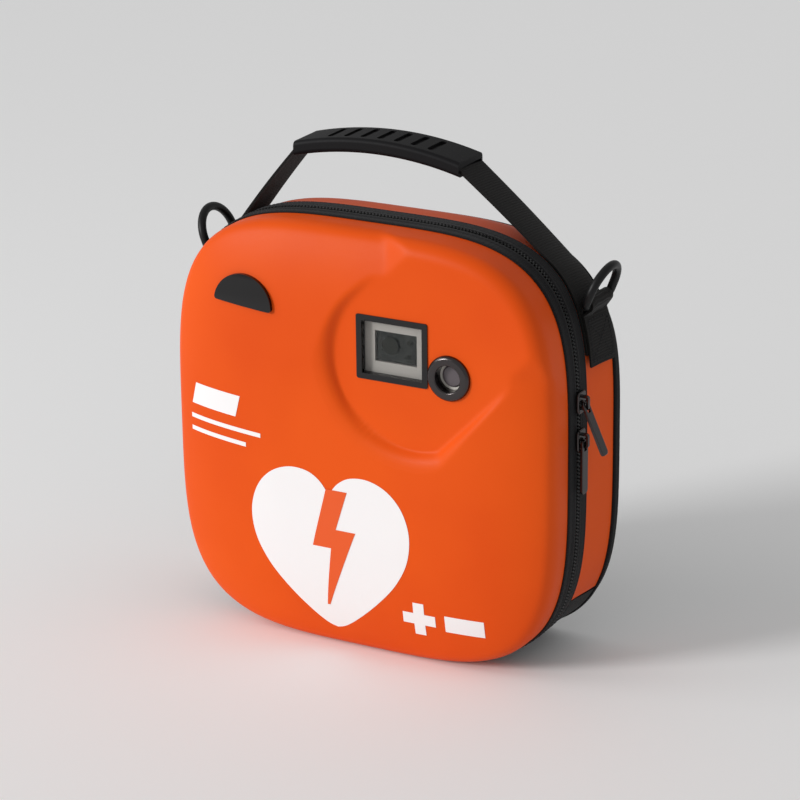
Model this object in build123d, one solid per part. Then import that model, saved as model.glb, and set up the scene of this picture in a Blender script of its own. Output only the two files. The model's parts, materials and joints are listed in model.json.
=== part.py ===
"""Automated external defibrillator in its zipped carrying case.

Frame: millimetres, +Z up, +X to the viewer's right, the front faces -Y.
The origin is on the floor, under the middle of the case.
Each sub-part is its own solid and is written to parts/NODE.step.
"""
from build123d import *
from math import atan2, cos, degrees, hypot, pi, radians, sin, sqrt, tan
import os

# ---------------------------------------------------------------- case outline
case_width = 285.0
case_height = 295.0
outline_power = 3.8          # exponent of the rounded-square outline
outline_points = 40
floor_flat = 0.3             # how much the floor plane trims off the outline

# depths, from the front face to the back face
crown_depth = 36.0           # front shell, from its crown to the front tape
front_tape_depth = 13.0      # front edge of the tape to the zip line
rear_tape_depth = 14.5       # zip line to the rear edge of the tape
rear_wall_depth = 34.5       # rear tape to the back panel
back_panel_depth = 10.0

shell_wall = 4.0
guard_thick = 1.2            # wear guard let into the bottom of the rear half
guard_top_z = 42.0
back_flare = 4.0             # how much wider each side is at the back panel
top_fall = 8.0               # how much lower the top is at the back panel
back_fall = 15.0             # further fall of the top over the back panel
edge_radius = 11.0           # rounding between the crown and the side wall
crown_reach = 13.0           # the crown's shape runs out this far past the outline
crown_steps = (0.0, 0.35, 0.55, 0.7, 0.82, 0.91, 0.965, 0.99)   # heights of its sections

# ---------------------------------------------------------------- front panel
panel_x = 46.0
panel_z = 213.0
panel_radius = 60.0
panel_lower_half = 53.0      # from the panel's axis to its straight lower edge
panel_level = 29.0           # panel's height over the front tape's edge
# the recess's wall, as (forward of the panel, out from its outline)
panel_wall = ((0.0, 0.0), (2.2, 1.5), (4.0, 3.4), (5.3, 5.8), (6.1, 8.8), (6.6, 12.4), (9.0, 44.0))
panel_wall_inset = 0.5       # how much of the shell's wall the inner recess is widened by
# the side of the panel's raised part, as (behind the panel, out from its outline)
panel_side = ((0.0, -5.0), (1.0, -2.6), (2.4, 1.0), (5.0, 7.0), (9.0, 14.0), (27.0, 40.0))

# ---------------------------------------------------------------- zip
tape_out = 1.0               # how far the tape stands out of the shells
tape_in = 1.4
tape_lip = 2.4               # inner lip of each shell, behind its tape
lip_to_zip = 6.0             # distance from each lip's end to the zip line
coil_width = 1.6
coil_gap = 1.6
coil_out = 1.4
coil_in = 0.4
hinge_half_length = 55.0     # fabric hinge on the left side
hinge_offset = 2.0           # hinge axis outside of the outline
hinge_tape_thick = 1.2

slider_length = 15.0
slider_width = 11.0
slider_plate = 1.9
slider_gap = 0.6             # clearance between plates and chain
slider_web = 0.8
slider_web_length = 6.0
inner_plate_drop = 2.0       # how far the inner plate stays clear of the chain
upper_slider_z = 190.0
lower_slider_z = 164.0
bail_length = 9.8
bail_width = 2.6
bail_bar = 1.5
bail_room = 3.3
pull_length = 38.0
pull_width = 8.0
pull_thick = 1.8
pull_bar_radius = 0.75
pull_end = 0.5               # metal above the pull's pin
pull_corner = 2.6
pull_eye_length = 6.2
pull_eye_width = 3.8
upper_pull_lean = 24.0       # degrees, it lies over the lower slider

# ---------------------------------------------------------------- straps
strap_width = 30.0
strap_thick = 1.8
tab_thick = 2.2
tab_bottom_z = 207.0
tab_to_tape = 0.3
strap_bottom_z = 214.0
ring_bar_z = 250.0
strap_leave_angle = 48.0     # where the strap leaves the case's corner, degrees
handle_pivot_z = 298.0
handle_pivot_gap = 0.4
handle_swing = 28.0          # degrees, each way
handle_shift = -12.0         # the grip sits a little left of the middle
grip_half_length = 62.0
grip_end_z = 328.0
grip_rise = 8.0
grip_width = 34.0
grip_thick = 10.0
recess_count = 7
recess_pitch = 12.5
recess_width = 4.5
recess_length = 22.0
recess_depth = 1.6

ring_wire = 2.9
ring_inner_width = 31.0
ring_side = 8.0
ring_lean = 22.0
ring_corner = 1.3            # radius of the ring's corners, in wire radii
ring_clearance = 0.4
loop_wall = 1.5

# ---------------------------------------------------------------- window and grommet
window_x = 29.8
window_z = 219.8
window_width = 52.5
window_height = 44.0
bezel_border = 4.0
lining_depth = 10.0          # inner lining band of the front half
lining_thick = 0.8
bezel_proud = 0.8
bezel_lip = 2.0
pane_thick = 1.5
grommet_x = 71.5
grommet_z = 207.5
grommet_radius = 15.4
grommet_bore = 9.0
grommet_proud = 3.0
washer_thick = 0.8
washer_radius = 13.0

badge_x = -79.5
badge_z = 246.5
badge_width = 46.0
badge_height = 21.0
badge_dome = 2.6
badge_turn = -4.0

# ---------------------------------------------------------------- defibrillator
unit_width = 212.0
unit_height = 232.0
unit_corner = 40.0
unit_front_gap = 1.2         # to the panel's inner face
unit_front_depth = 35.0
unit_rear_depth = 31.5
unit_wall = 2.8
unit_edge = 14.0
unit_fit = 1.0               # clearance of the cradle's pocket
gasket_thick = 1.0

display_width = 31.0
display_height = 21.0
display_lens = 1.6
display_depth = 6.0
info_radius = 7.2
power_x = -58.0
power_z = 205.0
power_radius = 12.0
shock_x = 52.0
shock_z = 112.0
shock_radius = 17.0
button_gap = 0.4
button_rim = 2.0             # flange that keeps a button inside the casing
info_travel = 1.2
power_travel = 2.0
shock_travel = 2.5
switch_x = -58.0
switch_z = 160.0
switch_travel = 8.0
switch_width = 9.0
switch_height = 10.0
socket_x = -58.0
socket_z = 112.0
socket_width = 26.0
socket_height = 16.0
socket_depth = 14.0
socket_wall = 2.5
speaker_x = 0.0
speaker_z = 108.0
speaker_radius = 16.0
speaker_depth = 7.0
speaker_slot = 2.4
speaker_rows = 5

info_proud = 1.2
power_proud = 2.4
shock_proud = 3.0
switch_proud = 1.5
socket_proud = 1.0
contact_radius = 1.0
contact_length = 5.0
button_rest = 0.3            # gap between a button's flange and the casing's wall

board_thick = 1.6
board_width = 150.0
board_height = 140.0
board_rise = 15.0            # above the unit's middle
board_to_split = 12.0
battery_x = 22.0
battery_z = 85.0
battery_width = 96.0
battery_height = 76.0
battery_depth = 26.0
battery_fit = 0.3
capacitor_radius = 15.0
capacitor_length = 62.0
capacitor_x = -45.0
capacitor_z = 90.0
capacitor_to_split = 13.0
transformer_x = -42.0
transformer_z = 190.0
transformer_size = (34.0, 30.0, 22.0)
relay_x = 30.0
relay_z = 180.0
relay_size = (28.0, 42.0, 20.0)
screw_grip = 9.0
screw_radius = 1.5
screw_head_radius = 3.0
screw_head_depth = 2.0
boss_radius = 4.5
boss_x = 82.0
boss_rows = (62.0, 147.0, 232.0)

cradle_clear = 2.0
cradle_front = 6.0
pouch_width = 170.0
pouch_height = 140.0
pouch_thick = 10.0
pouch_fit = 1.0
hold_strap_width = 20.0
hold_strap_thick = 1.2
hold_strap_gap = 0.4
hold_strap_z = 80.5

# ---------------------------------------------------------------- derived places
total_depth = crown_depth + front_tape_depth + rear_tape_depth + rear_wall_depth + back_panel_depth
crown_y = -total_depth / 2
front_tape_y = crown_y + crown_depth
zip_y = front_tape_y + front_tape_depth
rear_tape_y = zip_y + rear_tape_depth
panel_back_y = rear_tape_y + rear_wall_depth
back_y = panel_back_y + back_panel_depth
case_mid_z = case_height / 2 - floor_flat
half_width = case_width / 2
half_height = case_height / 2
panel_y = front_tape_y - panel_level
unit_front_y = panel_y + shell_wall + unit_front_gap
unit_split_y = unit_front_y + unit_front_depth
unit_back_y = unit_split_y + unit_rear_depth
hinge_x = -half_width - hinge_offset
strap_y = rear_tape_y + tab_to_tape + strap_width / 2
board_y = unit_split_y - board_to_split
display_y = unit_front_y
front_coil_y = zip_y - coil_gap / 2
rear_coil_y = zip_y + coil_gap / 2

above_floor = Pos(0, 0, case_height) * Box(3 * case_width, 4 * total_depth, 2 * case_height)


# ---------------------------------------------------------------- helpers
def outline_radius(angle, half_w, half_h):
    """Distance from the middle to the outline in the direction of angle."""
    total = abs(cos(angle) / half_w) ** outline_power + abs(sin(angle) / half_h) ** outline_power
    return total ** (-1 / outline_power)


def outline_face(y, grow=0.0, grow_x=0.0, top_drop=0.0):
    """The rounded-square outline at depth y, grown evenly or at its sides only."""
    half_w = half_width + grow + grow_x
    half_h = half_height + grow
    points = []
    for step in range(outline_points):
        angle = 2 * pi * step / outline_points
        radius = outline_radius(angle, half_w, half_h)
        z = radius * sin(angle)
        if z > 0:
            z = z * (half_h - top_drop) / half_h
        points.append(Vector(radius * cos(angle), y, case_mid_z + z))
    return Face(Wire([Edge.make_spline(points, periodic=True)]))


def outline_prism(y0, y1, grow=0.0):
    return Part() + Solid.extrude(outline_face(y0, grow), Vector(0, y1 - y0, 0))


def outline_ring(y0, y1, inner, outer):
    """A band that follows the outline, between two offsets."""
    return outline_prism(y0, y1, outer) - outline_prism(y0 - 1, y1 + 1, inner)


def side_x(z, half_w=half_width, half_h=half_height):
    """Half width of the case at height z."""
    rise = abs(z - case_mid_z) / half_h
    return half_w * (1 - rise ** outline_power) ** (1 / outline_power)


def crown_body(inset):
    """The crowned front half; an inset above zero gives the hollow inside it."""
    sections = []
    for share in crown_steps:
        scale = (1 - share ** 2) ** (1 / outline_power)
        grow_w = (half_width + crown_reach) * scale - half_width - inset
        grow_h = (half_height + crown_reach) * scale - half_height - inset
        y = front_tape_y - crown_depth * share + inset
        sections.append(outline_face(y, grow_h, grow_w - grow_h).outer_wire())
    crown = Part() + Solid.make_loft(sections)
    body = crown & outline_prism(2 * crown_y, front_tape_y + inset, -inset)
    cap_y = front_tape_y - crown_depth * crown_steps[-1] + inset
    rim = [e for e in body.edges() if cap_y + 1 < e.center().Y < front_tape_y + inset - 1 and e.length > case_width]
    return fillet(rim, edge_radius)


def panel_outline(grow):
    """The panel seen from the front: a strip that runs up and right from a round end."""
    reach = case_width
    upper = panel_radius + grow
    lower = panel_lower_half + grow
    corner = sqrt(upper ** 2 - lower ** 2)
    strip = Pos(reach / 2, (upper - lower) / 2) * Rectangle(reach, upper + lower)
    round_end = Circle(upper) & Pos(0, (upper - lower) / 2) * Rectangle(4 * reach, upper + lower)
    return Rot(0, 0, 45) * (strip + round_end)


def panel_loft(y_face, way, grow, profile):
    """A block with the panel's outline at y_face, spreading forwards (way -1) or backwards (1)."""
    sections = []
    for step, out in profile:
        sketch = Plane.XZ.offset(-(y_face + way * step)) * Pos(panel_x, panel_z) * panel_outline(grow + out)
        sections.append(sketch.face().outer_wire())
    return Part() + Solid.make_loft(sections, True)


def front_body(inset):
    """The front half's full shape: the crown, with the panel cut in and standing out."""
    level_y = panel_y + inset
    sunk = panel_loft(level_y, -1, inset * panel_wall_inset, panel_wall)
    raised = panel_loft(level_y, 1, -inset, panel_side)
    limit = outline_prism(level_y, front_tape_y + inset, -inset)
    rim = [e for e in limit.edges() if e.center().Y < level_y + 1]
    limit = fillet(rim, edge_radius)
    return crown_body(inset) - sunk + (raised & limit)


def slab(sketch, y0, y1, x=0.0, z=0.0):
    """A sketch seen from the front, centred at (x, z), from depth y0 to depth y1."""
    return extrude(Plane.XZ.offset(-y1) * Pos(x, z) * sketch, y1 - y0)


def rod(radius, y0, y1, x, z):
    return slab(Circle(radius), y0, y1, x, z)


def block(x0, x1, y0, y1, z0, z1):
    return Pos((x0 + x1) / 2, (y0 + y1) / 2, (z0 + z1) / 2) * Box(abs(x1 - x0), abs(y1 - y0), abs(z1 - z0))


def mirrored(part):
    return mirror(part, about=Plane.YZ)


nodes = {}


def keep(name, part):
    nodes[name] = part


# ---------------------------------------------------------------- front shell
def make_front_shell():
    lip = outline_ring(front_tape_y, zip_y - lip_to_zip, -tape_in - tape_lip, -tape_in)
    shell = front_body(0) - front_body(shell_wall) + lip
    shell -= slab(Rectangle(window_width - 2 * bezel_lip, window_height - 2 * bezel_lip),
                  2 * crown_y, 0, window_x, window_z)
    shell -= rod(grommet_bore + 1.2, 2 * crown_y, 0, grommet_x, grommet_z)
    return shell & above_floor


def make_lid_lining():
    inner = -shell_wall - tape_lip
    return outline_ring(front_tape_y - lining_depth, front_tape_y, inner - lining_thick, inner) & above_floor


def make_window_bezel():
    plate = slab(RectangleRounded(window_width, window_height, 1.5), panel_y - bezel_proud, panel_y,
                 window_x, window_z)
    sleeve = slab(Rectangle(window_width - 2 * bezel_lip, window_height - 2 * bezel_lip),
                  panel_y, panel_y + shell_wall, window_x, window_z)
    hole = slab(Rectangle(window_width - 2 * bezel_border, window_height - 2 * bezel_border),
                2 * crown_y, 0, window_x, window_z)
    return plate + sleeve - hole


def make_window_pane():
    return slab(Rectangle(window_width - 2 * bezel_border, window_height - 2 * bezel_border),
                panel_y + 0.6, panel_y + 0.6 + pane_thick, window_x, window_z)


def make_grommet():
    flange = rod(grommet_radius, panel_y - grommet_proud, panel_y, grommet_x, grommet_z)
    flange = fillet(flange.edges().group_by(Axis.Y)[0], grommet_proud * 0.9)
    tube = rod(grommet_bore + 1.2, panel_y, panel_y + shell_wall, grommet_x, grommet_z)
    hole = rod(grommet_bore, 2 * crown_y, 0, grommet_x, grommet_z)
    grommet = flange + tube - hole
    return fillet(grommet.edges().group_by(Axis.Y)[0], 1.2)


def make_grommet_washer():
    washer = rod(washer_radius, panel_y + shell_wall, panel_y + shell_wall + washer_thick,
                 grommet_x, grommet_z)
    return washer - rod(grommet_bore, 2 * crown_y, 0, grommet_x, grommet_z)


def make_badge():
    """A half-moon boss on the front, its face following the crown."""
    moon = Circle(badge_width / 2) & Pos(0, badge_width / 2) * Rectangle(2 * badge_width, badge_width)
    moon = scale(moon, (1, badge_height / (badge_width / 2), 1))
    moon = Pos(0, -badge_height / 2) * fillet(moon.vertices(), 2.0)
    depth = slab(Rot(0, 0, badge_turn) * moon, crown_y, front_tape_y, badge_x, badge_z)
    return depth & (Pos(0, -badge_dome, 0) * crown_body(0)) - crown_body(0)


keep("front_shell", make_front_shell())
keep("lid_lining", make_lid_lining())
keep("window_bezel", make_window_bezel())
keep("window_pane", make_window_pane())
keep("grommet", make_grommet())
keep("grommet_washer", make_grommet_washer())
keep("badge_plate", make_badge())


# ---------------------------------------------------------------- rear half
def rear_body(grow, y0=rear_tape_y, y1=back_y):
    """The rear half's full shape: sides flare out and the top falls to the back."""
    depths = ((rear_tape_y, 0.0, 0.0), (rear_tape_y + rear_wall_depth * 0.55, 0.55, 0.25),
              (panel_back_y, 1.0, 1.0))
    sections = [outline_face(y, grow, back_flare * flare, top_fall * fall).outer_wire()
                for y, flare, fall in depths]
    sections.append(outline_face(back_y, grow, back_flare, top_fall + back_fall).outer_wire())
    body = Part() + Solid.make_loft(sections)
    return body & block(-case_width, case_width, y0, y1, -case_height, 2 * case_height)


def make_rear_shell():
    shell = rear_body(0, y1=panel_back_y) - rear_body(-shell_wall) - guard_layer()
    lip = outline_ring(zip_y + lip_to_zip, rear_tape_y, -tape_in - tape_lip, -tape_in)
    return (shell + lip) & above_floor


def guard_layer():
    layer = rear_body(0, y1=panel_back_y) - rear_body(-guard_thick)
    return layer & block(-case_width, case_width, 0, back_y, -guard_top_z, guard_top_z)


def make_back_panel():
    body = rear_body(0, y0=panel_back_y)
    rim = [e for e in body.edges() if e.center().Y > back_y - 0.5]
    body = fillet(rim, 3.0)
    hollow = rear_body(-shell_wall, y0=panel_back_y - 1, y1=back_y - shell_wall)
    return (body - hollow) & above_floor


def make_hinge_tape():
    inner = -tape_in - tape_lip
    ring = outline_ring(zip_y + lip_to_zip, rear_tape_y, inner - hinge_tape_thick, inner)
    return ring & block(-case_width, 0, -total_depth, total_depth,
                        case_mid_z - hinge_half_length, case_mid_z + hinge_half_length)


def zip_part(ring):
    """A zip row: the whole outline except for the hinge's stretch."""
    hinge_zone = block(-case_width, -case_width / 4, -total_depth, total_depth,
                       case_mid_z - hinge_half_length, case_mid_z + hinge_half_length)
    return (ring - hinge_zone) & above_floor


keep("rear_shell", make_rear_shell())
keep("back_panel", make_back_panel())
keep("base_guard", guard_layer() & above_floor)
keep("hinge_tape", make_hinge_tape())
keep("front_zip_tape", outline_ring(front_tape_y, front_coil_y - coil_width, -tape_in, tape_out) & above_floor)
keep("rear_zip_tape", outline_ring(rear_coil_y + coil_width, rear_tape_y, -tape_in, tape_out) & above_floor)
keep("front_zip_coil", zip_part(outline_ring(front_coil_y - coil_width, front_coil_y, -coil_in, coil_out)))
keep("rear_zip_coil", zip_part(outline_ring(rear_coil_y, rear_coil_y + coil_width, -coil_in, coil_out)))


# ---------------------------------------------------------------- zip sliders and pulls
outer_plate_x = half_width + coil_out + slider_gap
bail_x = outer_plate_x + slider_plate
pin_x = bail_x + bail_room / 2


def make_slider(z):
    """Outer and inner plates joined by a web that runs between the two coils."""
    outer = block(outer_plate_x, bail_x, zip_y - slider_width / 2, zip_y + slider_width / 2,
                  z - slider_length / 2, z + slider_length / 2)
    outer = fillet(outer.edges().filter_by(Axis.X), 3.0)
    outer = fillet(outer.faces().sort_by(Axis.X)[-1].edges(), 0.9)
    inner_x = half_width - tape_in - inner_plate_drop
    inner = block(inner_x - slider_plate, inner_x, zip_y - slider_width / 2, zip_y + slider_width / 2,
                  z - slider_length / 2, z + slider_length / 2)
    inner = fillet(inner.edges().filter_by(Axis.X), 3.0)
    web = block(inner_x, outer_plate_x, zip_y - slider_web / 2, zip_y + slider_web / 2,
                z - slider_web_length / 2, z + slider_web_length / 2)
    bail = block(bail_x, bail_x + bail_room + bail_bar, zip_y - bail_width / 2, zip_y + bail_width / 2,
                 z - bail_length / 2, z + bail_length / 2)
    bail = fillet(bail.faces().sort_by(Axis.X)[-1].edges().filter_by(Axis.Y), 2.0)
    bail -= block(bail_x, bail_x + bail_room, zip_y - bail_width, zip_y + bail_width,
                  z - bail_length / 2 + bail_bar, z + bail_length / 2 - bail_bar)
    return outer + inner + web + bail


def make_pull(z, lean):
    """A flat pull whose pin passes through the slider's bail; it hangs down from there."""
    eye_top = pull_bar_radius
    top = pull_bar_radius + pull_end
    plate = block(-pull_thick / 2, pull_thick / 2, -pull_width / 2, pull_width / 2, top - pull_length, top)
    plate = fillet(plate.edges().filter_by(Axis.X), pull_corner)
    plate = fillet(plate.faces().sort_by(Axis.X)[-1].edges(), 0.5)
    eye = block(-pull_width, pull_width, -pull_eye_width / 2, pull_eye_width / 2,
                -eye_top - pull_eye_length, eye_top + pull_width)
    pin = Rot(90, 0, 0) * Cylinder(pull_bar_radius, pull_width - 2)
    pull = (plate - eye) + pin
    return Pos(pin_x, zip_y, z) * Rot(0, -lean, 0) * pull


keep("upper_slider", make_slider(upper_slider_z))
keep("lower_slider", make_slider(lower_slider_z))
keep("upper_pull", make_pull(upper_slider_z, upper_pull_lean))
keep("lower_pull", make_pull(lower_slider_z, 0))


# ---------------------------------------------------------------- tabs, strap and handle
strap_y0 = strap_y - strap_width / 2
strap_y1 = strap_y + strap_width / 2
strap_grow = back_flare
leave_angle = radians(strap_leave_angle)
leave_radius = outline_radius(leave_angle, half_width + strap_grow, half_height + strap_grow)
leave_x = leave_radius * cos(leave_angle)
leave_z = case_mid_z + leave_radius * sin(leave_angle)
loop_radius = ring_wire + ring_clearance + loop_wall
bar_x = side_x(ring_bar_z, half_width + strap_grow) + strap_thick + tab_thick / 2 + ring_wire + ring_clearance


def strap_layer(inner, thick, z0, z1):
    """A layer of webbing on the right side, following the case's outline."""
    ring = outline_ring(strap_y0, strap_y1, strap_grow + inner, strap_grow + inner + thick)
    return ring & block(case_width / 5, case_width, strap_y0, strap_y1, z0, z1)


def flat_strip(x0, z0, x1, z1, thick, y0, y1):
    """A straight strip whose inner face runs from (x0, z0) to (x1, z1)."""
    length = hypot(x1 - x0, z1 - z0)
    strip = block(0, length, y0, y1, 0, thick)
    return Pos(x0, 0, z0) * Rot(0, -degrees(atan2(z1 - z0, x1 - x0)), 0) * strip


def grip_end_x(side):
    return handle_shift + side * grip_half_length


def pivot_x(side):
    """Where the straight run of the strap crosses the handle's pivot height."""
    run = (handle_pivot_z - leave_z) / (grip_end_z - leave_z)
    return side * leave_x + run * (grip_end_x(side) - side * leave_x)


def make_strap_end(side):
    """The sewn end: under the tab, round the corner and free up to the pivot."""
    sewn = strap_layer(0, strap_thick, strap_bottom_z, leave_z)
    if side < 0:
        sewn = mirrored(sewn)
        free = flat_strip(pivot_x(side), handle_pivot_z, side * leave_x, leave_z,
                          strap_thick, strap_y0, strap_y1)
    else:
        free = flat_strip(leave_x, leave_z, pivot_x(side), handle_pivot_z,
                          -strap_thick, strap_y0, strap_y1)
    bend = strap_bend(side * (leave_x + strap_thick / 2 * cos(leave_angle)),
                      leave_z + strap_thick / 2 * sin(leave_angle))
    return sewn + bend + (free & pivot_half(-1)) - ring_groove(side)


def pivot_half(way):
    """Everything below (way -1) or above (way 1) the handle's pivot.

    It is cut back on both sides of the pivot, so that the strap's two runs stay
    clear of each other when the handle swings.
    """
    tip = handle_pivot_z + way * handle_pivot_gap
    side = tip + way * strap_width * tan(radians(handle_swing / 2 + 1))
    far = handle_pivot_z + way * case_height
    corners = [(strap_y, tip), (strap_y + strap_width, side), (strap_y + strap_width, far),
               (strap_y - strap_width, far), (strap_y - strap_width, side)]
    profile = make_face(Polyline(corners, close=True))
    return extrude(Plane.YZ.offset(-case_width) * profile, 2 * case_width)


def ring_groove(side):
    """Where the ring's bar presses into the strap under the tab."""
    return rod(ring_wire + ring_clearance, strap_y0 - 1, strap_y1 + 1, side * bar_x, ring_bar_z)


def strap_bend(x, z):
    """A rounded bend where two runs of webbing meet."""
    return rod(strap_thick / 2, strap_y0, strap_y1, x, z)


def make_handle_strap():
    """The swinging part: both free runs and the stretch inside of the grip."""
    left = flat_strip(pivot_x(-1), handle_pivot_z, grip_end_x(-1), grip_end_z,
                      strap_thick, strap_y0, strap_y1)
    right = flat_strip(grip_end_x(1), grip_end_z, pivot_x(1), handle_pivot_z,
                       strap_thick, strap_y0, strap_y1)
    core = arch(grip_end_z, strap_thick, strap_y0, strap_y1)
    strap = ((left + right) & pivot_half(1)) + core
    for side in (-1, 1):
        strap += strap_bend(grip_end_x(side), grip_end_z + strap_thick / 2)
    return strap


def arch(z, thick, y0, y1):
    """A curved bar between the grip's ends, its lower face starting at height z."""
    half = grip_half_length
    lower = ThreePointArc((-half, 0), (0, grip_rise), (half, 0))
    upper = ThreePointArc((half, thick), (0, grip_rise + thick), (-half, thick))
    left = Line((-half, thick), (-half, 0))
    right = Line((half, 0), (half, thick))
    profile = make_face(Curve() + [lower, right, upper, left])
    return slab(profile, y0, y1, handle_shift, z)


def make_grip():
    base_z = grip_end_z - (grip_thick - strap_thick) / 2
    grip = arch(base_z, grip_thick, strap_y - grip_width / 2, strap_y + grip_width / 2)
    long_edges = [e for e in grip.edges() if abs(e.center().X - handle_shift) < 1]
    grip = fillet(long_edges, 3.0)
    grip -= arch(grip_end_z, strap_thick, strap_y0, strap_y1)
    floor_z = base_z + grip_rise + grip_thick - recess_depth
    for index in range(recess_count):
        offset = (index - (recess_count - 1) / 2) * recess_pitch
        dip = grip_rise * (offset / grip_half_length) ** 2
        cut = extrude(SlotOverall(recess_length, recess_width, 90), grip_thick)
        grip -= Pos(handle_shift + offset, strap_y, floor_z - dip) * cut
    return grip


def make_tab(side):
    """A folded tab over the strap's end; its top fold is a sleeve for the ring's bar."""
    skin = strap_layer(strap_thick, tab_thick, tab_bottom_z, ring_bar_z)
    sleeve = rod(loop_radius, strap_y0, strap_y1, bar_x, ring_bar_z)
    bore = rod(ring_wire + ring_clearance, strap_y0 - 1, strap_y1 + 1, bar_x, ring_bar_z)
    clear = outline_prism(strap_y0 - 1, strap_y1 + 1, strap_grow + strap_thick)
    tab = (skin + (sleeve - clear)) - bore
    return tab if side > 0 else mirrored(tab)


def make_ring(side):
    """A D-shaped ring of round wire, standing up from its straight bar."""
    half = ring_inner_width / 2 + ring_wire
    path = Wire([Edge.make_line((-half, 0, 0), (half, 0, 0)), Edge.make_line((half, 0, 0), (half, ring_side, 0)),
                 Edge.make_three_point_arc((half, ring_side, 0), (0, ring_side + half, 0), (-half, ring_side, 0)),
                 Edge.make_line((-half, ring_side, 0), (-half, 0, 0))])
    path = path.fillet_2d(ring_wire * ring_corner, path.vertices().group_by(Axis.Y)[0])
    ring = sweep(Plane(origin=(0, 0, 0), z_dir=(1, 0, 0)) * Circle(ring_wire), path=path)
    ring = Pos(bar_x, strap_y, ring_bar_z) * Rot(0, ring_lean, 0) * Rot(0, 0, 90) * Rot(90, 0, 0) * ring
    return ring if side > 0 else mirrored(ring)


for word, side in (("right", 1), ("left", -1)):
    keep(f"{word}_strap_end", make_strap_end(side))
    keep(f"{word}_tab", make_tab(side))
    keep(f"{word}_ring", make_ring(side))
keep("handle_strap", make_handle_strap())
keep("handle_grip", make_grip())


# ---------------------------------------------------------------- defibrillator casing
def unit_block(inset, y0, y1):
    outline = RectangleRounded(unit_width - 2 * inset, unit_height - 2 * inset, unit_corner - inset)
    return slab(outline, y0, y1, 0, case_mid_z)


def button_hole(radius, x, z):
    return rod(radius + button_gap, 2 * crown_y, 0, x, z)


def boss_places():
    return [(side * boss_x, z) for side in (-1, 1) for z in boss_rows]


def make_front_casing():
    body = unit_block(0, unit_front_y, unit_split_y)
    body = fillet(body.faces().sort_by(Axis.Y)[0].edges(), unit_edge)
    hollow = unit_block(unit_wall, unit_front_y + unit_wall, unit_split_y + 1)
    hollow = fillet(hollow.faces().sort_by(Axis.Y)[0].edges(), unit_edge - unit_wall)
    casing = body - hollow
    for x, z in boss_places():
        casing += rod(boss_radius, unit_front_y + unit_wall, unit_split_y, x, z)
        casing -= rod(screw_radius, unit_split_y - screw_grip, unit_split_y, x, z)
    casing -= slab(Rectangle(display_width, display_height), 2 * crown_y, 0, window_x, window_z)
    casing -= button_hole(info_radius, grommet_x, grommet_z)
    casing -= button_hole(power_radius, power_x, power_z)
    casing -= button_hole(shock_radius, shock_x, shock_z)
    casing -= slab(RectangleRounded(switch_width, switch_height + switch_travel, 1.5),
                   2 * crown_y, 0, switch_x, switch_z)
    casing -= slab(Rectangle(socket_width, socket_height), 2 * crown_y, 0, socket_x, socket_z)
    pitch = 2 * speaker_radius / speaker_rows
    for row in range(speaker_rows):
        rise = (row - (speaker_rows - 1) / 2) * pitch
        width = 2 * sqrt(speaker_radius ** 2 - rise ** 2) - 2 * speaker_slot
        casing -= slab(SlotOverall(width, speaker_slot), 2 * crown_y, 0, speaker_x, speaker_z + rise)
    return casing


def make_rear_casing():
    body = unit_block(0, unit_split_y + gasket_thick, unit_back_y)
    body = fillet(body.faces().sort_by(Axis.Y)[-1].edges(), unit_edge / 2)
    casing = body - unit_block(unit_wall, unit_split_y, unit_back_y - unit_wall)
    for x, z in boss_places():
        casing += rod(boss_radius, unit_split_y + gasket_thick, unit_back_y - unit_wall, x, z)
        casing -= rod(screw_radius + 0.2, unit_split_y, unit_back_y, x, z)
        casing -= rod(screw_head_radius + 0.3, unit_back_y - screw_head_depth - 0.5, unit_back_y, x, z)
    casing -= slab(Rectangle(battery_width, battery_height), unit_back_y - unit_wall - 1, unit_back_y + 1,
                   battery_x, battery_z)
    return casing


def make_screws():
    screws = Part()
    for x, z in boss_places():
        head_y = unit_back_y - screw_head_depth - 0.5
        screw = rod(screw_radius, unit_split_y - screw_grip, head_y, x, z)
        screw += rod(screw_head_radius, head_y, head_y + screw_head_depth, x, z)
        screw -= slab(RegularPolygon(1.2, 6), head_y + 0.8, back_y, x, z)
        screws += screw
    return screws


def make_button(radius, x, z, travel, proud):
    """A domed button with a flange behind the casing's wall."""
    inner_y = unit_front_y + unit_wall
    cap = rod(radius, unit_front_y - proud, inner_y + travel, x, z)
    cap = fillet(cap.edges().group_by(Axis.Y)[0], min(proud, 1.5) * 0.9)
    flange = rod(radius + button_rim, inner_y + button_rest, inner_y + button_rest + 1.5, x, z)
    return cap + flange


def make_switch():
    inner_y = unit_front_y + unit_wall
    place = (switch_x, switch_z - switch_travel / 2)
    knob = slab(RectangleRounded(switch_width - 2 * button_gap, switch_height - button_gap, 1.2),
                unit_front_y - switch_proud, inner_y + button_rest, *place)
    foot = slab(Rectangle(switch_width + 2 * button_rim, switch_height + button_rim),
                inner_y + button_rest, inner_y + button_rest + 1.5, *place)
    return knob + foot


def make_socket():
    outer = slab(Rectangle(socket_width, socket_height), unit_front_y - socket_proud,
                 unit_front_y + socket_depth + socket_wall, socket_x, socket_z)
    bay = slab(Rectangle(socket_width - 2 * socket_wall, socket_height - 2 * socket_wall),
               2 * crown_y, unit_front_y + socket_depth, socket_x, socket_z)
    contacts = Part()
    for step in (-1, 0, 1):
        contacts += rod(contact_radius, unit_front_y + socket_depth - contact_length, unit_front_y + socket_depth,
                        socket_x + step * socket_width / 5, socket_z)
    return (outer - bay) + contacts



def on_board(sketch, depth, x, z):
    """A component that stands on the main board's rear face."""
    return slab(sketch, board_y + board_thick, board_y + board_thick + depth, x, z)


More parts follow.
